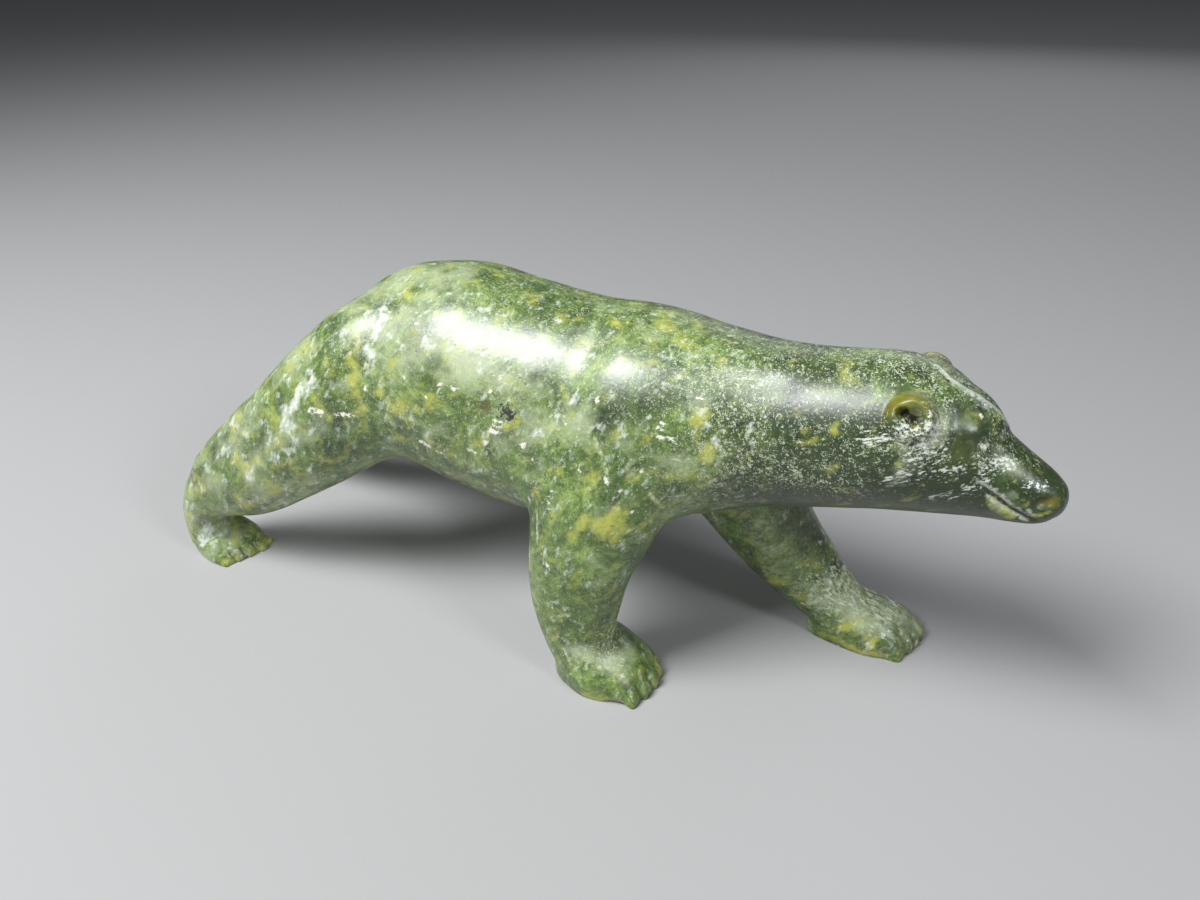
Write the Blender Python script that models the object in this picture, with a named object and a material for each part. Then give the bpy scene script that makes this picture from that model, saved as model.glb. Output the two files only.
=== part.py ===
"""Walking bear carved from one block of green soapstone, standing on its four feet.

Metres, +Z up. The bear faces +X, its right side is at -Y, and the origin is on the
ground under the middle of the carving's bounding box.
"""

import bmesh
import bpy
import numpy as np
from mathutils import Matrix

MM = 0.001
NAME = "bear"

# Driving sizes in millimetres, in the carver's layout: X runs along the body from
# a point above the withers, Y across it from the middle plane, Z up from the ground.
ROUGH_GRAIN = 1.2  # grain of the roughed-out stone
FINE_GRAIN = 0.8  # grain once the toes and ears are on
RING_POINTS = 48  # points round each section
STEPS = 6  # sections between one station and the next
CREASE_PASSES = 240  # how far the creases between limbs and trunk are rounded out
DETAIL_PASSES = 8  # the same for toes and ears
FILL_SHARE = 0.5  # share of a crease's depth filled by one pass
KEEP = 0.04  # share of the fine triangles left on the finished part

# Trunk, neck and head: x, top, bottom, half width
TRUNK = (
    (-82.5, 71.0, 67.0, 1.0),
    (-81.0, 75.5, 62.0, 7.5),
    (-76.0, 80.0, 57.0, 14.5),
    (-68.0, 85.0, 52.5, 19.5),
    (-57.5, 90.8, 48.0, 23.5),
    (-45.0, 97.2, 44.0, 25.5),
    (-28.0, 100.4, 39.0, 26.5),
    (-10.0, 98.0, 36.0, 25.5),
    (8.0, 96.2, 37.5, 25.0),
    (24.0, 96.3, 42.0, 24.5),
    (40.0, 94.0, 47.5, 21.5),
    (54.0, 92.8, 52.8, 18.5),
    (68.0, 93.8, 56.3, 17.0),
    (80.0, 95.0, 58.9, 16.5),
    (88.5, 93.9, 60.3, 15.0),
    (95.5, 89.6, 61.2, 12.3),
    (101.5, 82.8, 61.9, 9.6),
    (108.0, 78.0, 62.2, 7.6),
    (113.0, 74.8, 63.2, 6.4),
    (116.3, 72.0, 66.0, 3.8),
    (117.3, 70.0, 68.0, 0.8),
)

# Limbs: x, distance from the middle plane, z, half depth along the stride, half width
FORE_RIGHT = (
    (20.0, 10.0, 78.0, 12.0, 9.0),
    (19.5, 14.0, 66.0, 18.5, 12.0),
    (17.3, 20.0, 52.0, 16.7, 11.0),
    (14.1, 23.0, 38.0, 14.0, 9.5),
    (12.4, 23.5, 24.0, 12.2, 8.5),
    (13.2, 23.0, 12.0, 9.6, 8.0),
    (15.5, 22.5, 3.0, 7.0, 7.0),
)
FORE_LEFT = (
    (28.0, 8.0, 76.0, 14.0, 9.0),
    (34.0, 12.0, 62.0, 18.0, 12.0),
    (42.5, 17.0, 44.0, 15.4, 10.5),
    (51.5, 21.0, 28.5, 12.8, 9.5),
    (60.0, 23.5, 18.0, 11.0, 9.0),
    (70.5, 25.0, 7.5, 8.0, 7.5),
)
HIND = (
    (-38.0, 11.0, 76.0, 20.0, 11.0),
    (-50.5, 14.0, 70.0, 21.0, 14.0),
    (-60.5, 16.8, 62.5, 18.8, 13.8),
    (-73.5, 19.2, 52.0, 17.2, 13.0),
    (-95.8, 22.0, 35.2, 14.2, 10.8),
    (-108.5, 23.3, 27.8, 11.2, 9.0),
    (-116.0, 24.0, 21.8, 8.4, 8.0),
    (-120.5, 24.0, 14.5, 6.2, 7.3),
    (-121.0, 23.8, 5.0, 5.5, 7.0),
)
HIND_LEFT_BACK = 14.0  # the left hind foot stands this much further back in the stride
HIND_LEFT_SWING = 0.7  # power by which that shift grows from the hip to the foot

# Pads of the paws: x, top, half width
PAD_FORE_RIGHT = (
    (7.0, 8.0, 3.0),
    (9.5, 14.0, 6.0),
    (16.0, 18.5, 8.4),
    (23.0, 17.5, 9.3),
    (28.5, 13.5, 8.6),
    (31.0, 6.0, 6.5),
)
PAD_FORE_LEFT = (
    (61.0, 3.0, 2.0),
    (65.0, 8.5, 5.5),
    (72.0, 14.0, 8.6),
    (80.0, 13.0, 9.8),
    (86.5, 10.0, 9.2),
    (89.5, 4.5, 7.0),
)
PAD_HIND = (
    (-127.0, 5.0, 3.0),
    (-125.0, 11.0, 6.0),
    (-119.0, 13.0, 8.2),
    (-113.0, 10.5, 9.4),
    (-109.5, 7.5, 8.6),
    (-107.5, 4.0, 6.5),
)
# Toes: x of each tip, in the order the toes lie toward +Y
TIPS_FORE_RIGHT = (32.2, 33.8, 35.0, 34.6, 33.2)
TIPS_FORE_LEFT = (90.0, 91.9, 93.2, 93.8, 93.0)
TIPS_HIND = (-109.3, -107.3, -106.2, -105.4, -105.2)
TOE_LENGTH = 9.0
TOE_PITCH = 3.75
TOE_HALF_WIDTH = 2.45
# One toe from its root to its tip: shares of the length, the height, the half width
TOE_FORM = ((0, 0.6, 0.4), (0.35, 0.95, 0.8), (0.6, 1, 1), (0.8, 0.93, 1), (0.93, 0.72, 0.8), (1, 0.3, 0.3))
OUTER_TOE_DROP = 0.07  # a toe n places from the middle one is lower by n * n times this
BURIED = 0.45  # a paw's slices reach below the ground by this share of their height
# Each paw: pad, its middle y, toe tips, height of the middle toe and its y
PAW_FORE_RIGHT = (PAD_FORE_RIGHT, -21.3, TIPS_FORE_RIGHT, 11.5, -20.8)
PAW_FORE_LEFT = (PAD_FORE_LEFT, 25.3, TIPS_FORE_LEFT, 8.8, 25.5)
PAW_HIND_RIGHT = (PAD_HIND, -21.6, TIPS_HIND, 6.8, -21.4)

# Bumps on the head, the same on both sides: centre x, y, z; radii along the nose line, up
# the cheek and out from it; tilt of the outward direction above level in degrees
EAR = ((84.2, 11.8, 87.4), (4.6, 5.6, 2.9), 33.0)
BROW = ((93.5, 5.6, 82.6), (8.0, 6.5, 4.0), 38.0)
# Hollows pressed into it: the same, with the depth in place of the outward radius
EAR_CUP = ((84.6, 14.2, 87.6), (3.0, 3.9, 3.0), 25.0)
NOSTRIL = ((112.4, 6.0, 70.6), (2.9, 1.6, 1.2), 10.0)
HOLLOW_FLARE = 0.8  # height above its centre at which a hollow's bowl has its stated radii
HOLLOW_REACH = 3.0  # points further behind a hollow's floor than this stay put
# Mouth line from its corner to the front of the lip, its half width and depth
MOUTH = (
    (98.5, 9.8, 73.8),
    (101.8, 8.8, 71.5),
    (106.0, 7.6, 69.2),
    (110.5, 6.4, 67.2),
    (115.0, 2.8, 66.4),
)
MOUTH_HALF_WIDTH = 1.6
MOUTH_DEPTH = 0.9

STONE_COLOUR = (0.085, 0.13, 0.035)
STONE_ROUGHNESS = 0.25


def smooth_rows(stations):
    """Rows between the stations on a smooth curve through them (cubic Hermite)."""
    rows = np.array(stations, float)
    slope = np.gradient(rows, axis=0)
    at = np.linspace(0, len(rows) - 1, (len(rows) - 1) * STEPS + 1)
    i = np.minimum(at.astype(int), len(rows) - 2)
    t = (at - i)[:, None]
    start = (1 + 2 * t) * (1 - t) ** 2 * rows[i] + t * (1 - t) ** 2 * slope[i]
    end = t * t * (3 - 2 * t) * rows[i + 1] + t * t * (t - 1) * slope[i + 1]
    return start + end


def skin(bm, rings):
    """Adds a closed skin through the rings, with a point at each end."""
    loops = [[bm.verts.new(p * MM) for p in ring] for ring in rings]
    for a, b in zip(loops, loops[1:]):
        for k in range(RING_POINTS):
            n = (k + 1) % RING_POINTS
            bm.faces.new((a[k], a[n], b[n], b[k]))
    for loop, ring in ((loops[0], rings[0]), (loops[-1], rings[-1])):
        tip = bm.verts.new(ring.mean(axis=0) * MM)
        for k in range(RING_POINTS):
            bm.faces.new((loop[k], loop[(k + 1) % RING_POINTS], tip))


def upright(bm, rows, middle_y):
    """A form of upright oval slices across X; rows hold x, top, bottom, half width."""
    angle = np.linspace(0, 2 * np.pi, RING_POINTS, endpoint=False)
    x, top, bottom, half = (rows[:, k, None] for k in range(4))
    y = middle_y + half * np.cos(angle)
    z = (top + bottom) / 2 + (top - bottom) / 2 * np.sin(angle)
    skin(bm, list(np.stack([x + 0 * y, y, z], 2)))


def limb(bm, stations, side):
    """A limb of oval slices square to its own centre line; side is -1 right, 1 left."""
    rows = smooth_rows(stations)
    rows[:, 1] *= side
    along = np.gradient(rows[:, :3], axis=0)
    along /= np.linalg.norm(along, axis=1)[:, None]
    across = np.array((0.0, 1.0, 0.0)) - along[:, 1:2] * along
    across /= np.linalg.norm(across, axis=1)[:, None]
    stride = np.cross(along, across)
    angle = np.linspace(0, 2 * np.pi, RING_POINTS, endpoint=False)[None, :, None]
    rings = (
        rows[:, None, :3]
        + rows[:, 3, None, None] * np.cos(angle) * stride[:, None, :]
        + rows[:, 4, None, None] * np.sin(angle) * across[:, None, :]
    )
    skin(bm, list(rings))


def pad(bm, stations, middle_y):
    """The body of a paw, fuller just above the ground."""
    x, top, half = smooth_rows(stations).T
    upright(bm, np.stack([x, top, -BURIED * top, half], 1), middle_y)


def toes(bm, tips, height, middle_y):
    """Five rounded toes side by side; tips holds the x of each, going toward +Y."""
    along, rise, spread = smooth_rows(TOE_FORM).T
    for place, tip in zip((-2, -1, 0, 1, 2), tips):
        top = height * (1 - OUTER_TOE_DROP * place**2) * rise
        x = tip - TOE_LENGTH * (1 - along)
        rows = np.stack([x, top, -BURIED * top, TOE_HALF_WIDTH * spread], 1)
        upright(bm, rows, middle_y + place * TOE_PITCH)


def mirrored_paw(paw, back):
    """The same paw on the other side of the middle plane, set back by so much."""
    stations, middle_y, tips, height, toe_y = paw
    return np.array(stations) - (back, 0, 0), -middle_y, np.array(tips[::-1]) - back, height, -toe_y


def outward_frame(tilt, side):
    """Rows: forward along the body, up the cheek, and out from it."""
    rise, level = np.sin(np.radians(tilt)), np.cos(np.radians(tilt))
    return np.array(((1, 0, 0), (0, -side * rise, level), (0, side * level, rise)), float)


def bump(bm, shape, side):
    """A rounded boss on one side of the head."""
    (x, y, z), radii, tilt = shape
    placed = np.eye(4)
    placed[:3, :3] = outward_frame(tilt, side).T * np.array(radii) * MM
    placed[:3, 3] = np.array((x, side * y, z)) * MM
    bmesh.ops.create_icosphere(bm, subdivisions=4, radius=1.0, matrix=Matrix(placed.tolist()))


def press(mesh, shape, side):
    """Presses an oval bowl into one side of the head."""
    (x, y, z), (long, tall, deep), tilt = shape
    axes = outward_frame(tilt, side)
    centre = np.array((x, side * y, z))
    local = (points_of(mesh) - centre) @ axes.T
    bowl = (deep + HOLLOW_FLARE) * ((local[:, 0] / long) ** 2 + (local[:, 1] / tall) ** 2) - deep
    near = local[:, 2] > -deep - HOLLOW_REACH
    local[:, 2] = np.where(near, np.minimum(local[:, 2], bowl), local[:, 2])
    set_points(mesh, local @ axes + centre)


def groove(mesh, path, half_width, depth, side):
    """Sinks a rounded groove along a broken line on one side of the head."""
    point = points_of(mesh)
    line = np.array(path) * (1, side, 1)
    away = np.full(len(point), np.inf)
    for a, b in zip(line, line[1:]):
        t = np.clip((point - a) @ (b - a) / ((b - a) @ (b - a)), 0, 1)[:, None]
        away = np.minimum(away, np.linalg.norm(point - a - t * (b - a), axis=1))
    sink = depth * np.maximum(1 - (away / half_width) ** 2, 0) ** 2
    set_points(mesh, point - sink[:, None] * normals_of(mesh))


def points_of(mesh):
    """The mesh's points in millimetres."""
    flat = np.zeros(len(mesh.vertices) * 3)
    mesh.vertices.foreach_get("co", flat)
    return flat.reshape(-1, 3) / MM


def set_points(mesh, point):
    mesh.vertices.foreach_set("co", (point * MM).ravel())
    mesh.update()


def normals_of(mesh):
    flat = np.zeros(len(mesh.vertices) * 3)
    mesh.vertex_normals.foreach_get("vector", flat)
    return flat.reshape(-1, 3)


def evaluated(obj):
    """The object's mesh with its modifiers applied."""
    graph = bpy.context.evaluated_depsgraph_get()
    return bpy.data.meshes.new_from_object(obj.evaluated_get(graph))


def merged(obj, bm, grain):
    """Merges the overlapping skins of bm into the object's one stone."""
    bmesh.ops.recalc_face_normals(bm, faces=bm.faces)
    mesh = bpy.data.meshes.new(NAME)
    bm.to_mesh(mesh)
    bm.free()
    obj.data = mesh
    remesh = obj.modifiers.new("one stone", "REMESH")
    remesh.mode = "VOXEL"
    remesh.voxel_size = grain * MM
    obj.data = evaluated(obj)
    obj.modifiers.clear()


def fill_creases(mesh, passes):
    """Rounds out the valleys where forms meet and leaves what bulges as it is.

    Each pass moves a point out along its normal by a share of how far the mean of its
    neighbours lies outside it.
    """
    count = len(mesh.vertices)
    ends = np.zeros(len(mesh.edges) * 2, np.int32)
    mesh.edges.foreach_get("vertices", ends)
    ends = ends.reshape(-1, 2)
    degree = np.bincount(ends.ravel(), minlength=count)[:, None]
    point = points_of(mesh)
    for _ in range(passes):
        normal = normals_of(mesh)
        total = np.stack(
            [
                np.bincount(ends[:, 0], point[ends[:, 1], k], count)
                + np.bincount(ends[:, 1], point[ends[:, 0], k], count)
                for k in range(3)
            ],
            1,
        )
        rise = ((total / degree - point) * normal).sum(1)
        point = point + FILL_SHARE * np.maximum(rise, 0)[:, None] * normal
        set_points(mesh, point)


def saw_flat(mesh):
    """Cuts everything below the ground away and closes the four soles."""
    bm = bmesh.new()
    bm.from_mesh(mesh)
    cut = bmesh.ops.bisect_plane(
        bm,
        geom=bm.verts[:] + bm.edges[:] + bm.faces[:],
        plane_co=(0, 0, 0),
        plane_no=(0, 0, 1),
        clear_inner=True,
    )
    rim = [e for e in cut["geom_cut"] if isinstance(e, bmesh.types.BMEdge)]
    bmesh.ops.holes_fill(bm, edges=rim)
    bmesh.ops.triangulate(bm, faces=[f for f in bm.faces if len(f.verts) > 4])
    bm.to_mesh(mesh)
    bm.free()


def middle_on_origin(mesh):
    """Brings the middle of the bounding box over the origin."""
    point = points_of(mesh)
    middle = (point.min(axis=0) + point.max(axis=0)) / 2
    set_points(mesh, point - (middle[0], middle[1], 0))


def stone():
    material = bpy.data.materials.new("polished green soapstone")
    material.use_nodes = True
    surface = material.node_tree.nodes["Principled BSDF"]
    surface.inputs["Base Color"].default_value = (*STONE_COLOUR, 1)
    surface.inputs["Roughness"].default_value = STONE_ROUGHNESS
    surface.inputs["Metallic"].default_value = 0.0
    return material


def main():
    for obj in list(bpy.data.objects):
        bpy.data.objects.remove(obj, do_unlink=True)
    bear = bpy.data.objects.new(NAME, bpy.data.meshes.new(NAME))
    bpy.context.scene.collection.objects.link(bear)

    # Trunk, limbs and paw pads, with the creases between them rounded out
    bm = bmesh.new()
    upright(bm, smooth_rows(TRUNK), 0.0)
    limb(bm, FORE_RIGHT, -1)
    limb(bm, FORE_LEFT, 1)
    limb(bm, HIND, -1)
    hind_left = np.array(HIND)
    hind_left[:, 0] -= HIND_LEFT_BACK * np.linspace(0, 1, len(HIND)) ** HIND_LEFT_SWING
    limb(bm, hind_left, 1)
    paws = (PAW_FORE_RIGHT, PAW_FORE_LEFT, PAW_HIND_RIGHT, mirrored_paw(PAW_HIND_RIGHT, HIND_LEFT_BACK))
    for stations, middle_y, _, _, _ in paws:
        pad(bm, stations, middle_y)
    for side in (-1, 1):
        bump(bm, BROW, side)
    merged(bear, bm, ROUGH_GRAIN)
    fill_creases(bear.data, CREASE_PASSES)

    # Toes and ears
    bm = bmesh.new()
    bm.from_mesh(bear.data)
    for _, _, tips, height, middle_y in paws:
        toes(bm, tips, height, middle_y)
    for side in (-1, 1):
        bump(bm, EAR, side)
    merged(bear, bm, FINE_GRAIN)
    fill_creases(bear.data, DETAIL_PASSES)
    for side in (-1, 1):
        press(bear.data, EAR_CUP, side)
        press(bear.data, NOSTRIL, side)
        groove(bear.data, MOUTH, MOUTH_HALF_WIDTH, MOUTH_DEPTH, side)

    # Thinned out where the stone is even, then sawn flat
    thin = bear.modifiers.new("thin out", "DECIMATE")
    thin.ratio = KEEP
    thin.use_collapse_triangulate = True
    bear.data = evaluated(bear)
    bear.modifiers.clear()
    saw_flat(bear.data)
    middle_on_origin(bear.data)
    bear.data.materials.append(stone())


main()
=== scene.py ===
import bmesh
import bpy
import numpy as np
from mathutils import Matrix, Vector


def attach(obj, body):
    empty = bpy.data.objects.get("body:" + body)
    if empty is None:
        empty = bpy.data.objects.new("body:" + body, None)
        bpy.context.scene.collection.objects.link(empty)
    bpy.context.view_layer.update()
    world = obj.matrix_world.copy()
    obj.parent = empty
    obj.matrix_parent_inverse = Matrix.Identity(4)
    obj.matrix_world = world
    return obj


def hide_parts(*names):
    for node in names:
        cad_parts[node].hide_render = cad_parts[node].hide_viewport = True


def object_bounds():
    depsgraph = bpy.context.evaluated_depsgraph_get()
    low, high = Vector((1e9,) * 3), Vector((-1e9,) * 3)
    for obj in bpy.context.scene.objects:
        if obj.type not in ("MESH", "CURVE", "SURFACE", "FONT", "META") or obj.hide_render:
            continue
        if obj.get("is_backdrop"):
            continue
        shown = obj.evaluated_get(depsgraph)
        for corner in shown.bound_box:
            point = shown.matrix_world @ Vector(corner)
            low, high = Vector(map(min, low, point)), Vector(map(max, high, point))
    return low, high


# Walking bear, carved from one block of green serpentine and polished.
# Its form is worked out in millimetres, X towards the nose, Y to the bear's left, Z up.

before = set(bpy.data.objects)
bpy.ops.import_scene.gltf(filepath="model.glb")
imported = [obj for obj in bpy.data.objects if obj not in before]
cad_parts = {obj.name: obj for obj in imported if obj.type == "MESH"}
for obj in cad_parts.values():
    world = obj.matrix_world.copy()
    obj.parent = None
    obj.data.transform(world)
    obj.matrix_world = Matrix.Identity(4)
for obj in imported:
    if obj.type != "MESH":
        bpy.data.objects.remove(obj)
cadLow, cadHigh = (np.array(corner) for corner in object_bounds())
millimetre = 0.001
print("frame loaded", (cadHigh - cadLow) / millimetre)

# The bear's form
bear = {
    "name": "walkingBear",
    "roughGrain": 1.2,  # voxel of the roughed-out block
    "fineGrain": 0.5,  # voxel once toes and ears are on
    "creasePasses": 240,  # rounding of the creases between limbs and trunk
    "finePasses": 16,  # the same round toes and ears
    "skinPasses": 6,  # evening of the whole surface
    "triangles": 194000,
    # x, top, bottom, half width
    "trunk": (
        (-82.5, 71, 67, 1), (-81, 75.5, 62, 7.5), (-76, 80, 57, 14.5), (-68, 85, 52.5, 19.5),
        (-57.5, 90.8, 48, 23.5), (-45, 97.2, 44, 25.5), (-28, 100.4, 39, 26.5), (-10, 98, 36, 25.5),
        (8, 96.2, 37.5, 25), (24, 96.3, 42, 24.5), (40, 94, 47.5, 21.5), (54, 92.8, 52.8, 18.5),
        (68, 93.8, 56.3, 17), (80, 95, 58.9, 16.5), (88.5, 93.9, 60.3, 15), (95.5, 89.6, 61.2, 12.3),
        (101.5, 82.8, 61.9, 9.6), (108, 78, 62.2, 7.6), (113, 74.8, 63.2, 6.4), (116.3, 72, 66, 3.8),
        (117.3, 70, 68, 0.8),
    ),
    # x, distance from the middle plane, z, half depth along the stride, half width
    "foreRight": (
        (20, 10, 78, 12, 9), (19.5, 14, 66, 18.5, 12), (17.3, 20, 52, 16.7, 11), (14.1, 23, 38, 14, 9.5),
        (12.4, 23.5, 24, 12.2, 8.5), (13.2, 23, 12, 9.6, 8), (15.5, 22.5, 3, 7, 7),
    ),
    "foreLeft": (
        (28, 8, 76, 14, 9), (34, 12, 62, 18, 12), (42.5, 17, 44, 15.4, 10.5), (51.5, 21, 28.5, 12.8, 9.5),
        (60, 23.5, 18, 11, 9), (70.5, 25, 7.5, 8, 7.5),
    ),
    "hind": (
        (-38, 11, 76, 20, 11), (-50.5, 14, 70, 21, 14), (-60.5, 16.8, 62.5, 18.8, 13.8),
        (-73.5, 19.2, 52, 17.2, 13), (-95.8, 22, 35.2, 14.2, 10.8), (-108.5, 23.3, 27.8, 11.2, 9),
        (-116, 24, 21.8, 8.4, 8), (-120.5, 24, 14.5, 6.2, 7.3), (-121, 23.8, 5, 5.5, 7),
    ),
    "hindLeftBack": 14,  # the left hind foot stands this much further back
    "hindLeftSwing": 0.7,  # power by which that grows from hip to foot
    # pad: x, top, half width, y of its middle; toes: x of the tip, y, half width, top
    # cuts between the toes: x of the front, y, how far back they run; cutTop: how high
    "pawForeRight": {
        "pad": (
            (6.8, 6.5, 3.4, -22.8), (10, 12.5, 7, -22), (13.5, 15.6, 9.4, -21.4), (17, 16.2, 10.8, -21.4),
            (20.5, 15, 11.2, -21.3), (25, 11.8, 10.6, -21), (29, 8.6, 9.8, -20.8), (31.4, 5.8, 8.2, -20.6),
            (32.6, 3.8, 6.2, -20.4), (33.2, 2, 3.6, -20.4),
        ),
        "toes": (
            (32.3, -28.1, 2.3, 4.2), (33.6, -24.1, 2.6, 5.4), (34.3, -19.8, 2.3, 5.8),
            (33.8, -16.1, 2.2, 5.2), (31.4, -12.6, 2.2, 4),
        ),
        "cuts": ((32.6, -26.4, 4.4), (34.2, -21.8, 3.6), (34.4, -17.9, 3.4), (33, -14.3, 3)),
        "cutTop": 7,
    },
    "pawForeLeft": {
        "pad": (
            (63, 2.5, 2.5, 22.5), (66, 7.4, 5.4, 23.4), (72, 13.2, 8.8, 25), (80, 12.2, 10.2, 25.3),
            (86, 9.6, 9.6, 26), (89.6, 6.4, 8, 26.8), (91.2, 4, 6, 27.2), (92, 1.8, 3.4, 27.6),
        ),
        "toes": (
            (89.6, 18.9, 2.2, 4.2), (91.3, 22.4, 2.1, 5.2), (92.6, 26, 2.2, 5.8), (93.4, 29.8, 2.2, 5.4),
            (92.6, 33, 2, 4.2),
        ),
        "cuts": ((90.4, 20.6, 8), (92, 24.3, 5), (93, 27.9, 4), (93.2, 31.4, 3.4)),
        "cutTop": 9,
    },
    "pawHind": {
        "pad": (
            (-127, 5, 3, -22), (-125, 10, 6.4, -21.8), (-119, 11.6, 9, -21.6), (-114, 8.8, 10, -21.6),
            (-110.8, 6.2, 9.2, -21.4), (-108.6, 4.4, 7.4, -21), (-107.2, 2.8, 5, -20.6),
            (-106.4, 1.5, 2.8, -20),
        ),
        "toes": (
            (-109, -29, 2, 3), (-107.5, -25.9, 2.1, 3.9), (-106.1, -22.2, 2.3, 4.3), (-105, -18.2, 2.3, 3.9),
            (-106, -14.8, 2, 2.8),
        ),
        "cuts": ((-108.6, -27.5, 3.4), (-106.8, -24.1, 3.6), (-105.6, -20.1, 3.6), (-105.8, -16.4, 3.4)),
        "cutTop": 6,
    },
    "toeLength": 8.5,
    "buried": 0.45,  # a paw's slices reach below the ground by this share of their height
    "cutHalfWidth": 0.9,
    "cutDepth": 0.85,
}


def curveRows(stations, steps=6):
    # Rows on a smooth curve through the stations: cubic Hermite, each slope from its two neighbours
    rows = np.array(stations, float)
    slope = np.gradient(rows, axis=0)
    at = np.linspace(0, len(rows) - 1, (len(rows) - 1) * steps + 1)
    low = np.minimum(at.astype(int), len(rows) - 2)
    t = (at - low)[:, None]
    near = (1 + 2 * t) * (1 - t) ** 2 * rows[low] + t * (1 - t) ** 2 * slope[low]
    far = t * t * (3 - 2 * t) * rows[low + 1] + t * t * (t - 1) * slope[low + 1]
    return near + far


def ovalGrid(rows, middleY, around=56):
    # Upright ovals across X: y = middle + half width * cos a, z = mean height + half height * sin a
    a = np.linspace(0, 2 * np.pi, around, endpoint=False)
    x, top, bottom, half = (rows[:, k, None] for k in range(4))
    y = middleY + half * np.cos(a)
    z = (top + bottom) / 2 + (top - bottom) / 2 * np.sin(a)
    return np.stack([x + 0 * y, y, z], 2)


def limbGrid(stations, side, around=56):
    # Ovals square to a limb's centre line:
    # centre + half depth * cos a * stride + half width * sin a * across
    rows = curveRows(stations)
    rows[:, 1] *= side
    along = np.gradient(rows[:, :3], axis=0)
    along /= np.linalg.norm(along, axis=1)[:, None]
    across = np.array((0.0, 1.0, 0.0)) - along[:, 1:2] * along
    across /= np.linalg.norm(across, axis=1)[:, None]
    stride = np.cross(along, across)
    a = np.linspace(0, 2 * np.pi, around, endpoint=False)[None, :, None]
    depth, width = rows[:, 3, None, None], rows[:, 4, None, None]
    return rows[:, None, :3] + depth * np.cos(a) * stride[:, None] + width * np.sin(a) * across[:, None]


def padGrid(paw, buried):
    # A paw's pad: upright ovals that reach a share of their height below the ground
    x, top, half, middle = curveRows(paw["pad"]).T
    return ovalGrid(np.stack([x, top, -buried * top, half], 1), middle[:, None])


def toeGrids(paw, form):
    # Five toes side by side, each an oval that swells towards the front and closes at its tip
    # rows: share of the length, of the top and of the half width
    shape = (
        (0, 0.6, 0.4), (0.35, 0.95, 0.8), (0.6, 1, 1), (0.8, 0.84, 1), (0.95, 0.6, 0.95), (1, 0.34, 0.66),
    )
    along, rise, spread = curveRows(shape).T
    grids = []
    for tip, middle, half, top in paw["toes"]:
        x = tip - form["toeLength"] * (1 - along)
        rows = np.stack([x, top * rise, -form["buried"] * top * rise, half * spread], 1)
        grids.append(ovalGrid(rows, middle))
    return grids


def outwardAxes(tilt, side):
    # Rows: forward along the body, up the cheek, and out from it
    rise, level = np.sin(np.radians(tilt)), np.cos(np.radians(tilt))
    return np.array(((1, 0, 0), (0, -side * rise, level), (0, side * level, rise)), float)


def bossGrid(centre, radii, tilt, side, around=48):
    # An ellipsoid on the side of the head, from longitude and latitude: radii * (cos lat * cos lon,
    # cos lat * sin lon, sin lat), turned to face out from the cheek
    lastRing = 1.5  # latitude just short of the pole, which a fan closes
    lon = np.linspace(0, 2 * np.pi, around, endpoint=False)[None, :]
    lat = np.linspace(-lastRing, lastRing, around // 2)[:, None]
    ball = np.stack([np.cos(lat) * np.cos(lon), np.cos(lat) * np.sin(lon), np.sin(lat) + 0 * lon], 2)
    return ball * np.array(radii) @ outwardAxes(tilt, side) + np.array(centre) * (1, side, 1)


def meshOfShells(grids, base=None):
    # One mesh of closed skins: quads round each grid of rings and a fan to a point at each end
    points, faces, start = [], [], 0
    if base is not None:
        corners = np.zeros(len(base.loops), np.int32)
        base.loops.foreach_get("vertex_index", corners)
        points.append(pointsOf(base))
        faces += corners.reshape(-1, 4).tolist()
        start = len(base.vertices)
    for grid in grids:
        rings, around = grid.shape[:2]
        index = start + np.arange(rings * around).reshape(rings, around)
        turned = np.roll(index, -1, axis=1)
        quads = np.stack([index[:-1], turned[:-1], turned[1:], index[1:]], 2).reshape(-1, 4)
        tail = start + rings * around
        fans = [(index[0], turned[0], tail), (turned[-1], index[-1], tail + 1)]
        faces += quads.tolist()
        for a, b, tip in fans:
            faces += np.stack([b, a, np.full(around, tip)], 1).tolist()
        points += [grid.reshape(-1, 3), grid[:1].mean(1), grid[-1:].mean(1)]
        start = tail + 2
    mesh = bpy.data.meshes.new("shells")
    mesh.from_pydata(np.concatenate(points).tolist(), [], faces)
    return mesh


def pointsOf(mesh):
    flat = np.zeros(len(mesh.vertices) * 3)
    mesh.vertices.foreach_get("co", flat)
    return flat.reshape(-1, 3)


def putPoints(mesh, point):
    mesh.vertices.foreach_set("co", point.ravel())
    mesh.update()


def normalsOf(mesh):
    flat = np.zeros(len(mesh.vertices) * 3)
    mesh.vertex_normals.foreach_get("vector", flat)
    return flat.reshape(-1, 3)


def modified(mesh, kind, **settings):
    # The mesh with one modifier applied
    worker = bpy.data.objects.new("worker", mesh)
    bpy.context.scene.collection.objects.link(worker)
    modifier = worker.modifiers.new("step", kind)
    for key, value in settings.items():
        setattr(modifier, key, value)
    graph = bpy.context.evaluated_depsgraph_get()
    made = bpy.data.meshes.new_from_object(worker.evaluated_get(graph))
    bpy.data.objects.remove(worker)
    bpy.data.meshes.remove(mesh)
    return made


def edgesOf(mesh):
    ends = np.zeros(len(mesh.edges) * 2, np.int32)
    mesh.edges.foreach_get("vertices", ends)
    return ends.reshape(-1, 2)


def neighbourMean(value, ends):
    # Mean of each vertex's neighbours, for an array with one row per vertex
    count = len(value)
    degree = np.bincount(ends.ravel(), minlength=count)
    columns = [
        np.bincount(ends[:, 0], column[ends[:, 1]], count)
        + np.bincount(ends[:, 1], column[ends[:, 0]], count)
        for column in value.T
    ]
    return np.stack(columns, 1) / degree[:, None]


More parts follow.
